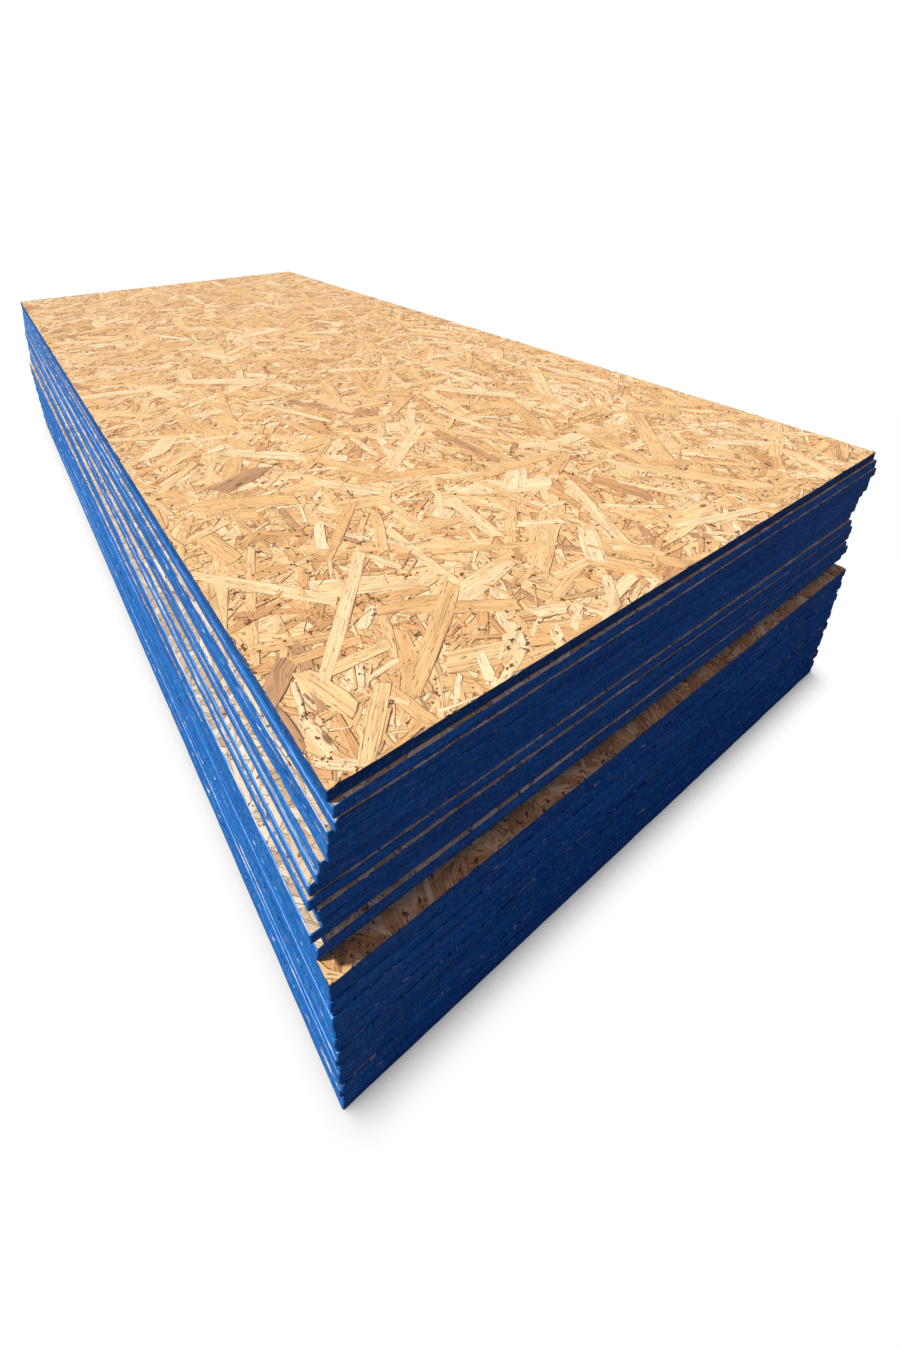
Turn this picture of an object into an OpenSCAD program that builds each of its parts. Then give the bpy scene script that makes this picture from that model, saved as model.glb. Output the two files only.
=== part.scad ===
// Stack of oriented strand board panels, lying flat in one square-edged pile.
// Full sheets rest face to face. The lower bundle is still as tidy as it left
// the press line, and the sheets on top of it have slid and turned a little.
// Origin: centre of the bottom panel's underside. +X runs across the sheets,
// +Y along them and +Z up.

/* [Panel] */
// Width of a panel, along X
panel_w = 1220; // [600:10:1500]
// Length of a panel, along Y
panel_l = 2440; // [1200:10:3000]
// Thickness of a panel
panel_t = 15.9; // [8:0.1:25]
// Radius that handling has worn on a panel's upright corners
corner_r = 3; // [0.5:0.5:12]

/* [Lower bundle] */
// Panels in the tidy lower bundle
lower_count = 18; // [2:1:30]
// Slide of the bundle's top panel across the pile, against the bottom one
lower_lean_x = -20; // [-60:1:60]
// Slide of the bundle's top panel along the pile, against the bottom one
lower_lean_y = -11; // [-60:1:60]
// Most that a panel strays sideways from that lean
lower_stray = 1.5; // [0:0.1:10]

/* [Upper sheets] */
// How much of their slides and turns the upper sheets keep, 1 being all
fan_share = 1; // [0:0.05:1.5]

/* [Hidden] */
$fn = 48;

// The upper sheets in the order they were laid: slide in X and in Y, and turn in degrees
UPPER = [
    [-16, 11, -0.2 ], [-17,  4, -0.25], [-12, -1, -0.1 ], [-21,  2, -0.4 ],
    [-14,  2, -0.15], [-16,  1, -0.25], [-21,  4, -0.4 ], [-20,  8, -0.3 ],
    [-15,  5, -0.2 ], [-14,  4, -0.15], [-10,  1,  0   ], [-11, -3, -0.05],
    [-10, -3, -0.05], [ -7, -7,  0.05], [ -7, -4,  0.05], [ -9,  1,  0   ]
];

count = lower_count + len(UPPER);

// A panel's name, numbered from the floor up with two digits
function panel_name(i) = str("panel_", i < 10 ? "0" : "", i);

// Slide and turn of lower panel i: a steady lean, and a stray that never repeats
function lower_place(i) =
    let (share = (i - 1) / (lower_count - 1))
    [
        lower_lean_x * share + lower_stray * sin(137 * (i - 1)),
        lower_lean_y * share + lower_stray * sin(211 * (i - 1)),
        0
    ];

// Slide and turn of panel i, counted from the floor up
function place(i) = i <= lower_count ? lower_place(i) : fan_share * UPPER[i - lower_count - 1];

// Outline of a sheet, with its four upright corners worn round
module sheet_outline() {
    square([panel_w - 2 * corner_r, panel_l], center = true);
    square([panel_w, panel_l - 2 * corner_r], center = true);
    for (x = [-1, 1], y = [-1, 1])
        translate([x * (panel_w / 2 - corner_r), y * (panel_l / 2 - corner_r)])
            circle(corner_r);
}

// One sheet, resting on the one below it
module panel(i) {
    at = place(i);
    color("burlywood")
        translate([at[0], at[1], (i - 1) * panel_t])
            rotate(at[2])
                linear_extrude(panel_t)
                    sheet_outline();
}

for (i = [1:count])
    panel(i);
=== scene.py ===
import math

import bpy
import numpy as np
from mathutils import Matrix, Vector


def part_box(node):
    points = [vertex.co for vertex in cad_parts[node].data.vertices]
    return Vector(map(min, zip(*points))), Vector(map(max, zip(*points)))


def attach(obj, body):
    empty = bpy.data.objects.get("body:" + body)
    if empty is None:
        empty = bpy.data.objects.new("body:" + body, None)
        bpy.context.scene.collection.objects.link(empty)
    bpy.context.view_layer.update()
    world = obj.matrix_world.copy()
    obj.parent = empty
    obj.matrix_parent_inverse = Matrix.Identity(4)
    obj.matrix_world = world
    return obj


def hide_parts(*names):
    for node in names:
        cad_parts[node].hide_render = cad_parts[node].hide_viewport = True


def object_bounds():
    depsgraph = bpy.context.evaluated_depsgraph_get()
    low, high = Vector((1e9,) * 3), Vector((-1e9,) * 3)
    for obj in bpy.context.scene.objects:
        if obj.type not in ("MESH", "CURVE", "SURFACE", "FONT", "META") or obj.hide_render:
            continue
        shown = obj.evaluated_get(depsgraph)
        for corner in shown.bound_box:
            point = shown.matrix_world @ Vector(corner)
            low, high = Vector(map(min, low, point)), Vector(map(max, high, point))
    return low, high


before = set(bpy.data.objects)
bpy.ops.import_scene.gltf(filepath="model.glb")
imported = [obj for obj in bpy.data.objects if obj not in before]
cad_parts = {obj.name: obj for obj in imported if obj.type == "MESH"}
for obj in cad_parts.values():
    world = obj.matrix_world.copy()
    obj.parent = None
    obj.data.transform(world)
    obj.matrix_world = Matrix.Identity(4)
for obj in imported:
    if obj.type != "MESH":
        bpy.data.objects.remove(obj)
cad_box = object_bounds()

# ------------------------------------------------------------------------------------------------
# The sheets. Each is oriented strand board: softwood strands pressed with glue, then sawn to size, which
# tears the strands at the edge. The sawn edges are sealed with sprayed blue paint and their arrises knocked
# round in handling. The sheets lie loose on each other, a little slid and turned.

SHEET_NODES = sorted(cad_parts)
OPEN_SHEET = SHEET_NODES[-1]


def front_step(name):
    """How far the front of a sheet stands back from that of the sheet on it: below zero, it sticks out."""
    above = SHEET_NODES[SHEET_NODES.index(name) + 1]
    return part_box(name)[0].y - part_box(above)[0].y


# The sheet whose front sticks out furthest from under the rest: the top one of the tidy lower bundle.
LEDGE_SHEET = min(SHEET_NODES[:-1], key=front_step)

# An arris is about this wide, and torn strands set the edge back by up to this much.
ARRIS = 0.0010
TORN_DEPTH = 0.00035
# The outline has a point at every step along the sides and so many round each corner, a millimetre apart.
CORNER_ROUND = 0.003
OUTLINE_STEP = 0.016
CORNER_POINTS = 5
CORNER_STEP = 0.001
# The flat middle of a face starts this far in from the edge.
FACE_MARGIN = 0.030
# Paint runs about this far in over the faces of the sheets under the ledge, and a fifth of it over the rest.
OVERSPRAY = 0.0022
# A sheet's upper face lies this far under its panel's, and further where strands are laid on it.
PRESS_GAP = 0.0007
FLAKE_BED = 0.0009


def turned(angle):
    """The matrix that turns rows of x and y by an angle."""
    c, s = math.cos(angle), math.sin(angle)
    return np.array([[c, s], [-s, c]])


def lie_of(name):
    """Centre, half width, half length and turn of a sheet. Its corner points spread most along its length,
    so the main axis of their spread is the way it lies."""
    low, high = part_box(name)
    x, y = (low.x + high.x) / 2, (low.y + high.y) / 2
    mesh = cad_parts[name].data
    points = np.empty(len(mesh.vertices) * 3)
    mesh.vertices.foreach_get("co", points)
    flat = points.reshape(-1, 3)[:, :2] - [x, y]
    spread = flat.T @ flat
    turn = -0.5 * math.atan2(2 * spread[0, 1], spread[1, 1] - spread[0, 0])
    unturned = flat @ turned(-turn)
    half_w, half_l = (unturned.max(0) - unturned.min(0)) / 2
    return x, y, half_w, half_l, turn


def round_rectangle(half_w, half_l):
    """Points, outward directions and running length round a rectangle with round corners. Each side is a
    straight run at even steps and then a quarter circle, all turned by a quarter for each side before it."""
    points, outwards = [], []
    for quarter in range(4):
        run, reach = (half_l, half_w) if quarter % 2 == 0 else (half_w, half_l)
        straight = run - CORNER_ROUND
        count = max(2, round(2 * straight / OUTLINE_STEP))
        side = np.linspace(-straight, straight, count, endpoint=False)
        angle = np.linspace(0, math.pi / 2, CORNER_POINTS, endpoint=False)
        x = np.concatenate([np.full(count, reach), reach - CORNER_ROUND + CORNER_ROUND * np.cos(angle)])
        y = np.concatenate([side, straight + CORNER_ROUND * np.sin(angle)])
        nx = np.concatenate([np.ones(count), np.cos(angle)])
        ny = np.concatenate([np.zeros(count), np.sin(angle)])
        c, s = [(1, 0), (0, 1), (-1, 0), (0, -1)][quarter]
        points.append(np.stack([x * c - y * s, x * s + y * c], 1))
        outwards.append(np.stack([nx * c - ny * s, nx * s + ny * c], 1))
    points, outwards = np.concatenate(points), np.concatenate(outwards)
    steps = np.linalg.norm(np.roll(points, -1, 0) - points, axis=1)
    return points, outwards, np.concatenate([[0], np.cumsum(steps)[:-1]])


def rough(rng, rows, columns, grain):
    """Random values from 0 to 1 that drift along each row with about that many steps to a grain, closing on
    themselves: waves of random phase and weight added up."""
    along = np.arange(columns) / columns * 2 * np.pi
    waves = np.arange(1, max(2, columns // grain))
    phase = rng.uniform(0, 2 * np.pi, (rows, len(waves)))
    weight = rng.uniform(0, 1, (rows, len(waves)))
    value = np.einsum("rw,rwc->rc", weight, np.cos(waves[None, :, None] * along + phase[..., None]))
    return 0.5 + 0.5 * np.tanh(value / value.std())


def board_surface(name, rng, half_w, half_l, bottom, top):
    """A board as rings of points: out from the middle of the underside, over the lower arris, up the edge,
    over the upper arris and in to the middle of the top. A ring is the outline set inwards by random amounts.
    Torn strands set the edge back layer by layer, and chips make the arrises wider. Gives the rings, their
    heights and their arris marks (-1 on the lower arris, for painted joint shade and dirt; 1 on the upper,
    for a painted highlight and wear), and the outline's outward directions and running length."""
    outline, outward, run = round_rectangle(half_w, half_l)
    count = len(outline)
    torn = TORN_DEPTH * rough(rng, 6, count, 3)
    # An arris is 0.6 times its usual width where it is sound and up to 2.2 times where it is chipped.
    chip = ARRIS * (0.6 + 1.6 * rough(rng, 2, count, 4) ** 3)
    under_ledge = SHEET_NODES.index(name) < SHEET_NODES.index(LEDGE_SHEET)
    # The overspray goes on from the arris and is 0.4 to 1.3 times its usual width.
    spray = OVERSPRAY if under_ledge else OVERSPRAY / 5
    spray = spray * (0.4 + 0.9 * rough(rng, 2, count, 2)) + 1.1 * ARRIS
    section = [(spray[0], bottom, 0.0)]
    for inwards, up in [(1, 0), (0.3, 0.3), (0, 1)]:
        section.append((chip[0] * inwards + torn[0], bottom + chip[0] * up, -1.0))
    for layer in range(1, 5):
        section.append((torn[layer], bottom + (top - bottom) * layer / 5, 0.15))
    for inwards, up in [(0, 1), (0.3, 0.3), (1, 0)]:
        section.append((chip[1] * inwards + torn[5], top - chip[1] * up, 1.0))
    section.append((spray[1], top, 0.0))
    middle = outline * (1 - FACE_MARGIN / np.array([half_w, half_l]))
    rings = [middle, *(outline - outward * inset[:, None] for inset, height, arris_mark in section), middle]
    heights = [bottom, *(height for inset, height, arris_mark in section), top]
    heights = [np.zeros(count) + height for height in heights]
    arris_mark = [0.0, *(arris_mark for inset, height, arris_mark in section), 0.0]
    return np.array(rings), np.array(heights), arris_mark, outward, run


class Wire:
    """One shader socket. An operator on it adds a Math node, and node() adds a node of any kind. A pattern
    on a vector that is stretched by n has n grains to the metre."""

    def __init__(self, tree, socket=None):
        self.tree, self.socket = tree, socket

    def node(self, kind, settings, inputs, out=0):
        """A new node: its settings are set first, then its sockets take their values or links."""
        made = self.tree.nodes.new("ShaderNode" + kind)
        for name, value in settings.items():
            if name == "stops":
                while len(made.color_ramp.elements) < len(value):
                    made.color_ramp.elements.new(1.0)
                for element, (place, colour) in zip(made.color_ramp.elements, value):
                    element.position, element.color = place, (*colour, 1.0)
            else:
                setattr(made, name, value)
        for name, value in inputs.items():
            if isinstance(value, Wire):
                self.tree.links.new(value.socket, made.inputs[name])
            else:
                made.inputs[name].default_value = value
        return Wire(self.tree, made.outputs[out])

    def math(self, operation, other):
        """This value and another through a Math node."""
        return self.node("Math", {"operation": operation}, {0: self, 1: other})

    def __add__(self, other):
        return self.math("ADD", other)

    def __sub__(self, other):
        return self.math("SUBTRACT", other)

    def __rsub__(self, other):
        return self.node("Math", {"operation": "SUBTRACT"}, {0: other, 1: self})

    def __mul__(self, other):
        return self.math("MULTIPLY", other)

    def __gt__(self, other):
        return self.math("GREATER_THAN", other)

    __radd__, __rmul__ = __add__, __mul__

    def ease(self, low, high, start=0.0, end=1.0):
        """Carries low..high smoothly to start..end, and holds the ends beyond them."""
        settings = {"interpolation_type": "SMOOTHSTEP"}
        return self.node("MapRange", settings, {0: self, 1: low, 2: high, 3: start, 4: end})

    def stretch(self, x, y):
        """This vector times (x, y, 1)."""
        return self.node("VectorMath", {"operation": "MULTIPLY"}, {0: self, 1: (x, y, 1.0)})

    def turn(self, degrees):
        """This vector turned about Z."""
        settings = {"rotation_type": "Z_AXIS"}
        return self.node("VectorRotate", settings, {"Vector": self, "Angle": math.radians(degrees)})

    def noise(self, detail=2.0, roughness=0.5, out=0):
        """Smooth noise about 0.5, one grain to each unit of this vector: 0 a value, 1 a colour."""
        inputs = {"Vector": self, "Scale": 1.0, "Detail": detail, "Roughness": roughness}
        return self.node("TexNoise", {}, inputs, out)

    def cells(self, feature="F1", out=0):
        """Random cells, one to each unit of this vector: 0 their distance, 1 a colour of their own."""
        settings = {"voronoi_dimensions": "2D", "feature": feature}
        return self.node("TexVoronoi", settings, {"Vector": self, "Scale": 1.0}, out)

    def part(self, which):
        """One channel of this colour: 0, 1 or 2."""
        return self.node("SeparateColor", {}, {0: self}, which)

    def mix(self, factor, other):
        """This colour where factor is 0, and the other where it is 1."""
        return self.node("Mix", {"data_type": "RGBA"}, {0: factor, 6: self, 7: other}, 2)

    def shade(self, factor):
        """This colour times a value."""
        grey = self.node("CombineColor", {}, {0: factor, 1: factor, 2: factor})
        settings = {"data_type": "RGBA", "blend_type": "MULTIPLY"}
        return self.node("Mix", settings, {0: 1.0, 6: self, 7: grey}, 2)


def new_material(name):
    """An empty material with one Principled shader, and a wire to start its expressions from."""
    made = bpy.data.materials.new(name)
    made.use_nodes = True
    shader = made.node_tree.nodes["Principled BSDF"]
    return made, shader, Wire(made.node_tree)


def finish_surface(shader, colour, roughness, gloss, height, depth):
    """Feeds the shader: colour, roughness, an even gloss, and a relief whose height of 1 stands depth metres
    proud."""
    tree = shader.id_data
    tree.links.new(colour.socket, shader.inputs["Base Color"])
    tree.links.new(roughness.socket, shader.inputs["Roughness"])
    shader.inputs["Specular IOR Level"].default_value = gloss
    bump = height.node("Bump", {}, {"Strength": 1.0, "Distance": depth, "Height": height})
    tree.links.new(bump.socket, shader.inputs["Normal"])


# Strands go from weathered and brown to straw and cream.
STRAND_TONES = [
    (0.00, (0.368, 0.214, 0.104)),
    (0.06, (0.430, 0.254, 0.120)),
    (0.14, (0.450, 0.240, 0.100)),
    (0.30, (0.530, 0.298, 0.118)),
    (0.52, (0.605, 0.378, 0.158)),
    (0.78, (0.665, 0.462, 0.222)),
    (1.00, (0.725, 0.570, 0.345)),
]
# Pressed faces that have lain covered are paler and greyer than the open one.
COVERED_TONES = [
    (0.00, (0.220, 0.155, 0.095)),
    (0.10, (0.350, 0.245, 0.150)),
    (0.35, (0.490, 0.355, 0.215)),
    (0.65, (0.600, 0.465, 0.302)),
    (1.00, (0.710, 0.605, 0.440)),
]
SHADOWED_GLUE = (0.090, 0.036, 0.014, 1.0)
WOOD_GLOSS = 0.3
# Layers of strands from the lowest up: their turn in degrees, a strand's length and width, and the share of
# the layer that isn't there.
STRAND_LAYERS = [
    (17, 0.038, 0.007, 0.0),
    (-48, 0.045, 0.008, 0.4),
    (74, 0.060, 0.010, 0.45),
    (-12, 0.055, 0.007, 0.5),
    (52, 0.080, 0.013, 0.5),
    (38, 0.095, 0.015, 0.55),
    (-80, 0.110, 0.019, 0.6),
    (-31, 0.120, 0.022, 0.7),
]
# Strands of a layer crowd each other: their middles lie this many times closer than their length and width.
CROWDING = 1.35
# A strand's outline strays by up to this much.
RAGGEDNESS = 0.0022


def pressed_wood(name, tones):
    """Board face without modelled strands: layers of long random cells, each layer turned another way and
    showing only some of its cells, coloured one by one, streaked along their length and darkened at the rim
    with painted shade."""
    made, shader, wire = new_material(name)
    lie = wire.node("UVMap", {"uv_map": "Lie"}, {})
    ragged = lie.stretch(160.0, 160.0).noise(2.0, out=1)
    amount = (RAGGEDNESS, RAGGEDNESS, 0.0)
    place = ragged.node("VectorMath", {"operation": "MULTIPLY_ADD"}, {0: ragged, 1: amount, 2: lie})
    colour = None
    height = None
    for turn, length, width, hidden in STRAND_LAYERS:
        along = place.turn(turn)
        cell_space = along.stretch(CROWDING / length, CROWDING / width)
        tint = cell_space.cells(out=1)
        rim = cell_space.cells("DISTANCE_TO_EDGE").ease(0.0, 0.09)
        grain = along.stretch(22.0, 900.0).noise(3.0, 0.6)
        face = tint.node("ValToRGB", {"stops": tones}, {0: tint.part(0) * 0.75 + grain * 0.35})
        # Painted shade: each cell darkens towards its rim, where a strand's edge would be shaded.
        face = face.shade(grain.ease(0.3, 0.7, 0.78, 1.08) * rim.ease(0.0, 1.0, 0.50, 1.0))
        level = tint.part(1) * 0.6 + rim * 0.25 + grain * 0.15
        if colour is None:
            colour, height = face, level
        else:
            shown = tint.part(2) > hidden
            colour = colour.mix(shown, face)
            height = height + (level - height) * shown
    void = place.stretch(110.0, 110.0).noise(2.5, 0.6).ease(0.62, 0.68, 0.0, 0.9)
    colour = colour.mix(void, SHADOWED_GLUE)
    finish_surface(shader, colour, height.ease(0.0, 1.0, 0.68, 0.55), WOOD_GLOSS, height, 0.0006)
    return made


PAINT_TONES = [(0.30, (0.0025, 0.058, 0.225)), (0.70, (0.0060, 0.112, 0.345))]
PAINT_ON_RISES = (0.050, 0.200, 0.460, 1.0)
# The dark of open pores; the same colour is the painted shade in the joint along each lower arris.
PORE_AND_JOINT_SHADE = (0.0015, 0.008, 0.035, 1.0)
# Pale blue of the painted highlight along the upper arris.
GLINT_BLUE = (0.130, 0.330, 0.760, 1.0)
BARE_EDGE = (0.62, 0.54, 0.44, 1.0)
PAINT_GLOSS = 0.12


def sealed_edge():
    """Sawn edge under sprayed blue paint: streaks and open pores run along the layers, and bare wood shows
    in flecks all over. The lower arris is darkened with painted shade for the joint between sheets, and some
    dirt. On the upper one a painted highlight runs pale in long stretches, and the paint is rubbed through in
    dashes."""
    made, shader, wire = new_material("sealed_edge")
    lie = wire.node("UVMap", {"uv_map": "Lie"}, {})
    arris = wire.node("Attribute", {"attribute_name": "arris"}, {}, "Fac")
    coat = wire.node("Attribute", {"attribute_name": "coat"}, {}, "Fac")
    cloud = lie.stretch(7.0, 90.0).noise(2.0)
    streak = lie.stretch(34.0, 1300.0).noise(3.0, 0.6)
    rise = lie.stretch(95.0, 900.0).noise(1.5).ease(0.57, 0.70, 0.0, 0.8)
    pore_space = lie.stretch(120.0, 620.0)
    pore = pore_space.cells().ease(0.12, 0.26, 1.0, 0.0) * (pore_space.cells(out=1).part(0) > 0.6)
    # Painted shade: a dark line along the lower arris, in the joint between sheets, laid with the dark of the
    # open pores.
    pores_and_joint_shade = (pore * 0.85).math("MAXIMUM", (0 - arris).ease(0.45, 0.95, 0.0, 0.75))
    # Painted highlight: pale blue lines along the upper arris, on some joints and not on others.
    arris_glint = arris.ease(0.5, 0.95) * lie.stretch(0.7, 63.0).noise(1.0).ease(0.47, 0.60)
    dash = lie.stretch(24.0, 210.0).noise(3.0, 0.6)
    chipped = lie.stretch(0.5, 45.0).noise(1.0)
    fleck = lie.stretch(70.0, 1500.0).noise(1.0).ease(0.66, 0.73)
    worn = fleck * 0.7 + (arris * (dash * 0.6 + chipped * 0.5)).ease(0.61, 0.66)
    paint = cloud.node("ValToRGB", {"stops": PAINT_TONES}, {0: cloud})
    paint = paint.shade(streak.ease(0.25, 0.75, 0.60, 1.45))
    paint = paint.mix(rise, PAINT_ON_RISES).shade(coat)
    paint = paint.mix(pores_and_joint_shade, PORE_AND_JOINT_SHADE)
    paint = paint.mix(arris_glint * 0.7, GLINT_BLUE)
    paint = paint.mix(worn.math("MINIMUM", 1.0) * 0.7, BARE_EDGE)
    height = streak * 0.6 - pore * 0.5
    finish_surface(shader, paint, streak.ease(0.3, 0.7, 0.75, 0.6), PAINT_GLOSS, height, 0.0005)
    return made


# The paint reflects this share of its colour: less on the top sheet, which has a thick dark coat.
COAT_RANGE = (0.90, 1.10)
THICK_COAT = 0.55
# The arris marks (wear, dirt, painted joint shade and a painted highlight) are 1 on the long sides, on the
# short ends this much.
ARRIS_MARKS_ON_ENDS = 0.4
# On the top sheet they are scaled by this as well, which keeps its painted highlight faint.
ARRIS_MARKS_ON_OPEN_SHEET = 0.5
# The patterns start further on from sheet to sheet, by this much across and along a face and along an edge.
FACE_SHIFT = np.array([3.1, 1.7])
EDGE_SHIFT = 9.7


def sheet(number, name, wood, edge):
    """One board. Its surface is turned and moved to where its panel lies, and a flat cap closes the middle
    of each face. The patterns' places are unrolled: along and up the edge, and flat across the faces."""
    x, y, half_w, half_l, turn = lie_of(name)
    low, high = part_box(name)
    rng = np.random.default_rng(100 + number)
    top = high.z - (FLAKE_BED if name in (OPEN_SHEET, LEDGE_SHEET) else PRESS_GAP)
    rings, heights, arris_mark, outward, run = board_surface(name, rng, half_w, half_l, low.z, top)
    count = len(run)
    flat = rings @ turned(turn) + [x, y]
    points = np.concatenate([flat, heights[..., None]], 2).reshape(-1, 3)
    row, column = np.meshgrid(np.arange(len(rings) - 1), np.arange(count), indexing="ij")
    row, column = row.ravel(), column.ravel()
    after = (column + 1) % count
    quads = np.stack([row * count + column, row * count + after, (row + 1) * count + after,
                      (row + 1) * count + column], 1)
    caps = [list(range(count))[::-1], list(range((len(rings) - 1) * count, len(rings) * count))]
    mesh = bpy.data.meshes.new(f"sheet_{number:02d}")
    mesh.from_pydata(points.tolist(), [], quads.tolist() + caps)
    made = bpy.data.objects.new(mesh.name, mesh)
    bpy.context.collection.objects.link(made)
    mesh.materials.append(wood)
    mesh.materials.append(edge)
    # Paint covers the edge, the arrises and the overspray on the faces, but no overspray on the open face.
    last_painted = len(rings) - (4 if name == OPEN_SHEET else 3)
    painted = np.zeros(len(mesh.polygons), bool)
    painted[:len(quads)] = (row >= 1) & (row <= last_painted)
    mesh.polygons.foreach_set("material_index", painted.astype(int))
    corners = np.empty(len(mesh.loops), int)
    mesh.loops.foreach_get("vertex_index", corners)
    on_face = rings.reshape(-1, 2)[corners] + FACE_SHIFT * number
    along_edge = np.tile(run, len(rings))[corners] + EDGE_SHIFT * number
    on_edge = np.stack([along_edge, heights.ravel()[corners]], 1)
    polygon = np.repeat(np.arange(len(mesh.polygons)), [4] * len(quads) + [count] * 2)
    places = np.where(painted[polygon][:, None], on_edge, on_face)
    # The last column closes the ring, so its far corners take the whole run, and not zero.
    last_column = np.isin(polygon, np.flatnonzero(column == count - 1))
    closing = painted[polygon] & last_column & (corners % count == 0)
    places[closing, 0] += run[-1] + CORNER_STEP
    mesh.uv_layers.new(name="Lie").data.foreach_set("uv", places.ravel())
    mark_strength = ARRIS_MARKS_ON_ENDS + (1 - ARRIS_MARKS_ON_ENDS) * np.abs(outward[:, 0])
    if name == OPEN_SHEET:
        mark_strength = mark_strength * ARRIS_MARKS_ON_OPEN_SHEET
    # The arris marks go to the edge paint: below zero as painted joint shade and dirt, above zero as a
    # painted highlight and wear.
    arris = np.outer(arris_mark, mark_strength).ravel()
    coat = THICK_COAT if name == OPEN_SHEET else rng.uniform(*COAT_RANGE)
    for attribute, values in [("arris", arris), ("coat", np.full(len(points), coat))]:
        mesh.attributes.new(attribute, "FLOAT", "POINT").data.foreach_set("value", values)
    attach(made, "root")
    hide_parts(name)


OPEN_WOOD = pressed_wood("open_wood", STRAND_TONES)
COVERED_WOOD = pressed_wood("covered_wood", COVERED_TONES)
SEALED_EDGE = sealed_edge()
for number, name in enumerate(SHEET_NODES, 1):
    wood = OPEN_WOOD if name in (OPEN_SHEET, LEDGE_SHEET) else COVERED_WOOD
    sheet(number, name, wood, SEALED_EDGE)

# ------------------------------------------------------------------------------------------------
# Strands of the open faces. They are sliced softwood flakes a few tenths of a millimetre thick, pressed flat
# over each other with glue between. Long ones lie over short ones and those over slivers, each cut at its
# own slant, and all are sawn off with the sheet.

# There is at most one knot to a patch of wood this long along the grain and this wide, and few have one.
KNOT_PATCH = (0.090, 0.045)


def strand_face(name, gaps):
    """Sliced wood: bands and fine lines along the grain, short dark pores, a few knots and splits, dark lines
    at the rim of glue and painted shade, and small gaps that the strands above have not closed, as dark as
    gaps says."""
    made, shader, wire = new_material(name)
    place = wire.node("TexCoord", {}, {}, "Object")
    tone = wire.node("Attribute", {"attribute_name": "tone"}, {}, "Fac")
    rim = wire.node("Attribute", {"attribute_name": "rim"}, {}, "Fac")
    grain = wire.node("Attribute", {"attribute_name": "grain"}, {}, "Vector")
    band = grain.stretch(2.5, 95.0).noise(2.0)
    line = grain.stretch(9.0, 800.0).noise(3.0, 0.65)
    cloud = grain.stretch(18.0, 60.0).noise(2.0)
    ring = grain.stretch(7.0, 520.0).noise(1.5).ease(0.54, 0.66)
    pore = grain.stretch(60.0, 460.0).noise(2.0).ease(0.60, 0.69)
    split = grain.stretch(15.0, 620.0).noise(1.0).ease(0.65, 0.70)
    knot_space = grain.stretch(1 / KNOT_PATCH[0], 1 / KNOT_PATCH[1])
    knot = knot_space.cells().ease(0.05, 0.12, 1.0, 0.0) * (knot_space.cells(out=1).part(1) > 0.95)
    gap = place.stretch(110.0, 110.0).noise(2.5, 0.6).ease(0.605, 0.655, 0.0, gaps)
    # Painted shade, with glue: a dark line inside each strand's rim, where its edge steps down.
    rim_glue_and_shade = (1 - rim) * cloud.ease(0.38, 0.60, 0.18, 0.90)
    face = tone.node("ValToRGB", {"stops": STRAND_TONES}, {0: tone + (band - 0.5) * 0.45})
    face = face.shade(line.ease(0.25, 0.75, 0.76, 1.17) * cloud.ease(0.3, 0.7, 0.90, 1.07))
    face = face.shade(1 - ring * 0.27)
    dark = rim_glue_and_shade
    for mark in (pore * 0.75, split * 0.5, knot * 0.8, gap):
        dark = dark.math("MAXIMUM", mark)
    face = face.mix(dark, SHADOWED_GLUE)
    height = line * 0.4 + rim * 0.45 - dark * 0.4
    finish_surface(shader, face, line.ease(0.2, 0.8, 0.66, 0.5), WOOD_GLOSS, height, 0.0005)
    return made


# Stepping by these shares of the face from strand to strand spreads them evenly: the plastic number's powers.
EVEN_STEPS = np.array([0.7548777, 0.5698403])
# Strands are laid to this far past the sides, and the power makes long ones rarer than short ones.
PAST_THE_SIDES = 0.01
LONG_ONES_RARER = 1.4
# The slant of an end and the raggedness of the sides and ends, in widths of the strand.
SLANT = 0.35
RAGGED_SIDE = 0.05
RAGGED_END = 0.07
# The rim is this wide and drops by this much to the wall, which goes this far down into the bed.
RIM_WIDTH = 0.0014
RIM_DROP = 0.00018
INTO_BED = 0.0003
# One end lies about this much higher than the middle, and the other as much lower.
TILT = 0.00008
# What is kept clear of the panel's own sides and top.
CUT_BACK = 0.0008
UNDER_TOP = 0.00002


def strand_outlines(rng, length, width, bow, sides):
    """Outlines of flat strands, as places along and across each, and the share u of its length where each
    point lies. They go up one side, over the end, down the other side and back. A point at u along and v
    across is moved sideways by bow * (1 - 4 u squared), its v is narrowed towards the ends by u squared, and
    the ends are cut at a slant."""
    count = len(length)
    slant = rng.normal(0, SLANT, (2, count)) * width
    narrow = rng.uniform(0.0, 0.5, (2, count)) ** 1.5
    per_side = sides // 2 - 1
    u_side = np.linspace(-0.5, 0.5, per_side)
    u = np.concatenate([u_side, [0.5], u_side[::-1], [-0.5]])
    v = np.concatenate([np.full(per_side, -0.5), [0.0], np.full(per_side, 0.5), [0.0]])
    at_end = np.abs(u) > 0.45
    taper = 1 - np.where(u > 0, narrow[0][:, None], narrow[1][:, None]) * (2 * np.abs(u)) ** 2
    ragged_side = rng.normal(0, RAGGED_SIDE, (count, sides))
    across = v * width[:, None] * (taper + ragged_side) + bow[:, None] * (1 - 4 * u ** 2)
    ragged_end = rng.normal(0, RAGGED_END, (count, sides)) * width[:, None] * at_end
    along = u * length[:, None] + np.where(u > 0, slant[0][:, None], slant[1][:, None]) * v * at_end
    return along + ragged_end, across, u


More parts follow.
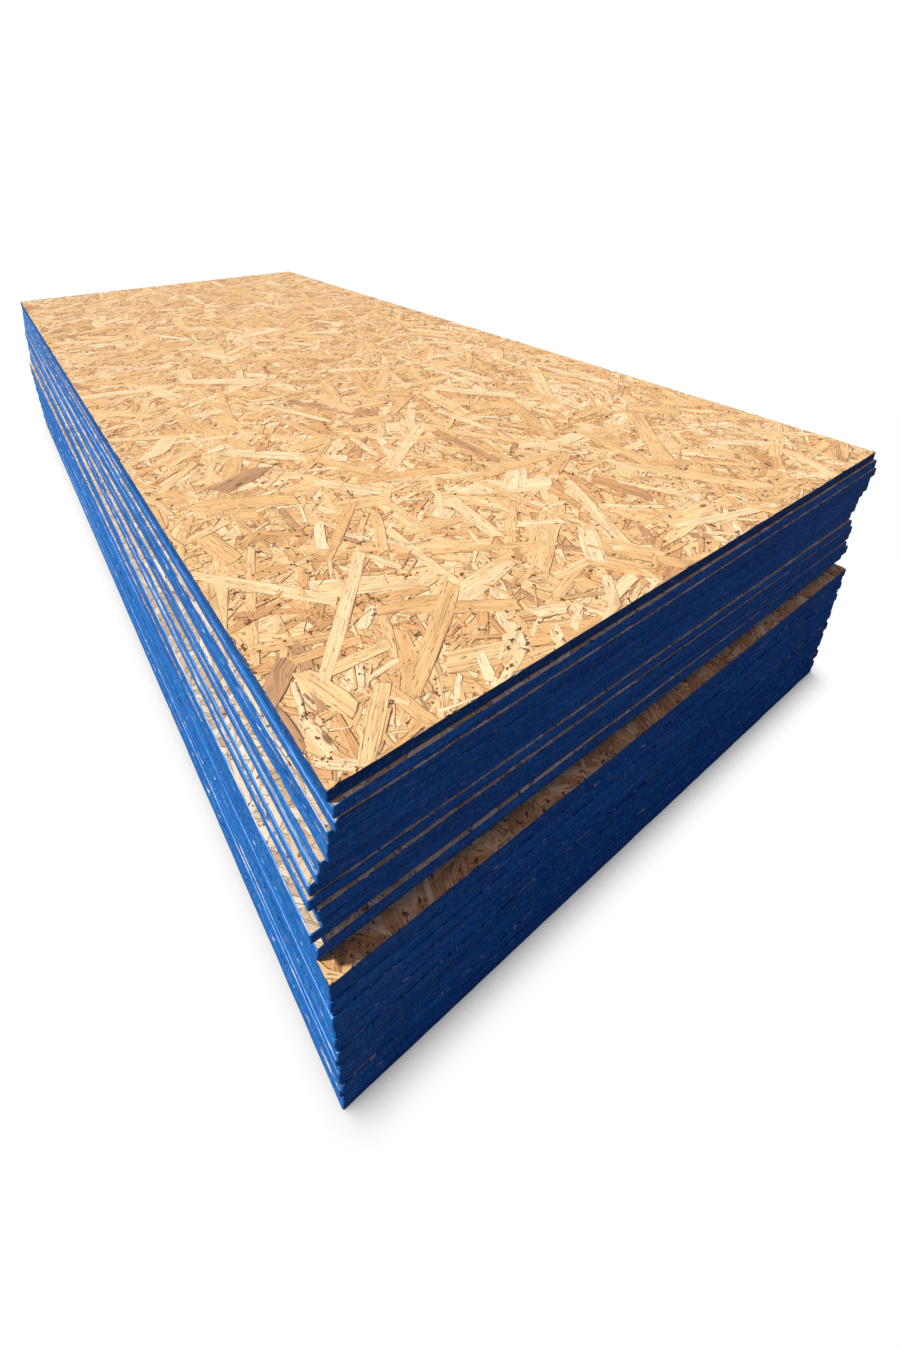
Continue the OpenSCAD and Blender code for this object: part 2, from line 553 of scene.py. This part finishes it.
def strands(name, on, count, long, wide, deep, light, weathered, curl, sides, face, seed, margin=None):
    """Many thin closed plates in one mesh, pressed into the face of the sheet named by on. Each plate has
    three rings: its face inside the rim, its rim, and its foot in the bed. It is turned by a random angle,
    set at its own place and cut off at the sheet's sides. With a margin, only the plates that near to the
    front and left sides are laid. long, wide and deep are ranges in metres, light is the range of tones, and
    weathered is the share of dull brown ones. Every point keeps its place along and across the grain."""
    x, y, half_w, half_l, lie = lie_of(on)
    half = np.array([half_w, half_l])
    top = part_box(on)[1].z
    rng = np.random.default_rng(seed)
    centre = (EVEN_STEPS * np.arange(count)[:, None] + rng.uniform(0, 1, 2)) % 1 * 2 - 1
    centre = centre * (half + PAST_THE_SIDES)
    if margin:
        centre = centre[(centre + half).min(1) < margin]
        count = len(centre)
    length = long[0] * (long[1] / long[0]) ** (rng.uniform(0, 1, count) ** LONG_ONES_RARER)
    width = wide[0] * (wide[1] / wide[0]) ** rng.uniform(0, 1, count)
    turn = rng.uniform(0, math.pi, count)
    depth = rng.uniform(deep[0], deep[1], count)
    bow = rng.normal(0, curl, count) * length
    along, across, u = strand_outlines(rng, length, width, bow, sides)
    inset = RIM_WIDTH / np.maximum(width, 3 * RIM_WIDTH)
    inside_v = (1 - 2 * inset)[:, None]
    inside_u = (1 - 2 * inset * width / length)[:, None]
    grain_start = rng.uniform(0, 60, (count, 2))
    tilt = rng.normal(0, TILT, (count, 1)) * 2 * u
    surface = np.minimum(top - depth[:, None] + tilt, top - UNDER_TOP)
    foot = np.full(surface.shape, top - FLAKE_BED - INTO_BED)
    c, s = np.cos(turn)[:, None], np.sin(turn)[:, None]
    rings, grain = [], []
    for scale_u, scale_v, z in [
            (inside_u, inside_v, surface),
            (1.0, 1.0, surface - RIM_DROP),
            (1.0, 1.0, foot)]:
        a, b = along * scale_u, across * scale_v
        flat = np.stack([a * c - b * s, a * s + b * c], -1) + centre[:, None]
        flat = np.clip(flat, CUT_BACK - half, half - CUT_BACK)
        rings.append(np.concatenate([flat, z[..., None]], -1))
        grain.append(np.stack([a + grain_start[:, :1], b + grain_start[:, 1:], np.zeros_like(a)], -1))
    points = np.stack(rings, 1).reshape(-1, 3)
    points[:, :2] = points[:, :2] @ turned(lie) + [x, y]
    k = np.arange(sides)
    after = (k + 1) % sides
    walls = np.concatenate([np.stack([k + sides * (r + 1), after + sides * (r + 1), after + sides * r,
                                      k + sides * r], -1) for r in range(2)])
    start = np.arange(count)[:, None, None] * 3 * sides
    quads = (walls + start).reshape(-1, 4)
    caps = np.concatenate([(k + start[:, 0])[:, None], (k[::-1] + 2 * sides + start[:, 0])[:, None]], 1)
    mesh = bpy.data.meshes.new(name)
    mesh.from_pydata(points.tolist(), [], quads.tolist() + caps.reshape(-1, sides).tolist())
    pale, rare = rng.uniform(0, 1, (2, count))
    tone = np.where(rare < weathered, 0.2 * pale, light[0] + (light[1] - light[0]) * pale)
    for attribute, kind, field, values in [
            ("tone", "FLOAT", "value", np.repeat(tone, 3 * sides)),
            ("rim", "FLOAT", "value", np.tile(np.repeat([1.0, 0.0, 0.0], sides), count)),
            ("grain", "FLOAT_VECTOR", "vector", np.stack(grain, 1).ravel())]:
        mesh.attributes.new(attribute, kind, "POINT").data.foreach_set(field, values)
    mesh.materials.append(face)
    made = bpy.data.objects.new(name, mesh)
    bpy.context.collection.objects.link(made)
    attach(made, "root")


DEEP_FACE = strand_face("deep_strand_face", gaps=0.95)
PROUD_FACE = strand_face("proud_strand_face", gaps=0.0)
strands("slivers", OPEN_SHEET, 5900, long=(0.012, 0.050), wide=(0.003, 0.010), deep=(0.00008, 0.00068),
        light=(0.10, 1.0), weathered=0.04, curl=0.08, sides=6, face=DEEP_FACE, seed=5)
strands("short_strands", OPEN_SHEET, 2700, long=(0.040, 0.120), wide=(0.007, 0.020), deep=(0.00012, 0.00060),
        light=(0.22, 0.97), weathered=0.025, curl=0.03, sides=12, face=DEEP_FACE, seed=6)
strands("long_strands", OPEN_SHEET, 900, long=(0.080, 0.250), wide=(0.014, 0.042), deep=(0.00004, 0.00050),
        light=(0.45, 0.92), weathered=0.02, curl=0.010, sides=12, face=PROUD_FACE, seed=7)
strands("ledge_strands", LEDGE_SHEET, 9000, long=(0.025, 0.110), wide=(0.006, 0.024),
        deep=(0.00012, 0.00068), light=(0.12, 0.95), weathered=0.03, curl=0.03, sides=12, face=DEEP_FACE,
        seed=11, margin=0.05)

# ------------------------------------------------------------------------------------------------
# Studio floor: white paper that runs into the white surround, so that only the soft shade close round the
# pile shows on it. To the camera it glows by how open it is, and to all other light it is dim and matt.

FLOOR_REACH = 40.0
FLOOR_BOUNCE = 0.12
FLOOR_GLOW = 1.01
SHADE_REACH = 0.055
SHADE_DEPTH = 1.58
SHADE_FALL = 1.8
# The shade is measured about this leaning direction, so that it is deeper on the right and in front.
SHADE_LEAN = (-0.42, 0.36, 0.83)

mesh = bpy.data.meshes.new("floor")
side = np.array([(-1, -1), (1, -1), (1, 1), (-1, 1)]) * FLOOR_REACH
mesh.from_pydata([(x, y, cad_box[0].z) for x, y in side.tolist()], [], [(0, 1, 2, 3)])
floor = bpy.data.objects.new("floor", mesh)
bpy.context.collection.objects.link(floor)
floor_paint = bpy.data.materials.new("floor_paint")
floor_paint.use_nodes = True
floor_paint.node_tree.nodes.clear()
wire = Wire(floor_paint.node_tree)
seen = wire.node("LightPath", {}, {}, "Is Camera Ray")
matt = wire.node("BsdfDiffuse", {}, {"Color": (FLOOR_BOUNCE, FLOOR_BOUNCE, FLOOR_BOUNCE, 1.0)})
lean = wire.node("CombineXYZ", {}, dict(enumerate(SHADE_LEAN)))
open_sky = wire.node("AmbientOcclusion", {"samples": 16}, {"Distance": SHADE_REACH, "Normal": lean}, "AO")
hidden_sky = (1 - open_sky).math("POWER", SHADE_FALL)
glow = wire.node("Emission", {}, {"Strength": FLOOR_GLOW - hidden_sky * SHADE_DEPTH})
both = wire.node("MixShader", {}, {0: seen, 1: matt, 2: glow})
output = floor_paint.node_tree.nodes.new("ShaderNodeOutputMaterial")
floor_paint.node_tree.links.new(both.socket, output.inputs["Surface"])
mesh.materials.append(floor_paint)

# ------------------------------------------------------------------------------------------------
# Studio light: a white surround that sheds a dim bluish light, one strong lamp high on the left and a little
# behind, and one weak warm lamp almost overhead.

SURROUND_WHITE = 1.02
SURROUND_LIGHT = 0.35
SURROUND_TINT = (0.45, 0.62, 1.12)
LAMPS = [
    ("key", Vector((-0.70, 0.36, 0.62)), 7.4, (0.99, 0.95, 0.905), 6),
    ("fill", Vector((0.10, -0.12, 0.99)), 0.65, (1.0, 0.52, 0.20), 50),
]

world = bpy.data.worlds.new("studio")
bpy.context.scene.world = world
world.use_nodes = True
backing = world.node_tree.nodes["Background"]
seen = Wire(world.node_tree).node("LightPath", {}, {}, "Is Camera Ray")
strength = seen * (SURROUND_WHITE - SURROUND_LIGHT) + SURROUND_LIGHT
world.node_tree.links.new(strength.socket, backing.inputs["Strength"])
surround = seen.node("CombineColor", {}, dict(enumerate(SURROUND_TINT))).mix(seen, (1.0, 1.0, 1.0, 1.0))
world.node_tree.links.new(surround.socket, backing.inputs["Color"])

for name, towards, power, colour, spread in LAMPS:
    lamp = bpy.data.objects.new(name, bpy.data.lights.new(name, "SUN"))
    lamp.data.energy = power
    lamp.data.color = colour
    lamp.data.angle = math.radians(spread)
    lamp.rotation_euler = towards.to_track_quat("Z", "Y").to_euler()
    bpy.context.collection.objects.link(lamp)

# ------------------------------------------------------------------------------------------------
# Camera: near the front left corner of the pile, above it, looking along it with a wide lens. The lens is
# shifted down, so that it need not look down steeply and the near corner stays almost upright.

LEFT_OF_CORNER = 0.200
IN_FRONT_OF_CORNER = 0.345
ABOVE_PILE = 0.536
LOOKS_RIGHT = 32.64
LOOKS_DOWN = 19.47
LEANS = 0.49
FILM_SIZE = 36.0
LENS = 16.34667
LENS_SHIFT = (0.073, -0.222)

corner = Vector(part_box("panel_01")[0])
camera = bpy.data.objects.new("camera", bpy.data.cameras.new("camera"))
bpy.context.collection.objects.link(camera)
camera.location = (corner.x - LEFT_OF_CORNER, corner.y - IN_FRONT_OF_CORNER, cad_box[1].z + ABOVE_PILE)
right = Matrix.Rotation(math.radians(-LOOKS_RIGHT), 3, "Z")
down = Matrix.Rotation(math.radians(90 - LOOKS_DOWN), 3, "X")
roll = Matrix.Rotation(math.radians(-LEANS), 3, "Z")
camera.rotation_euler = (right @ down @ roll).to_euler()
camera.data.sensor_width = FILM_SIZE
camera.data.lens = LENS
camera.data.shift_x, camera.data.shift_y = LENS_SHIFT
bpy.context.scene.camera = camera
bpy.context.scene.view_settings.view_transform = "Standard"
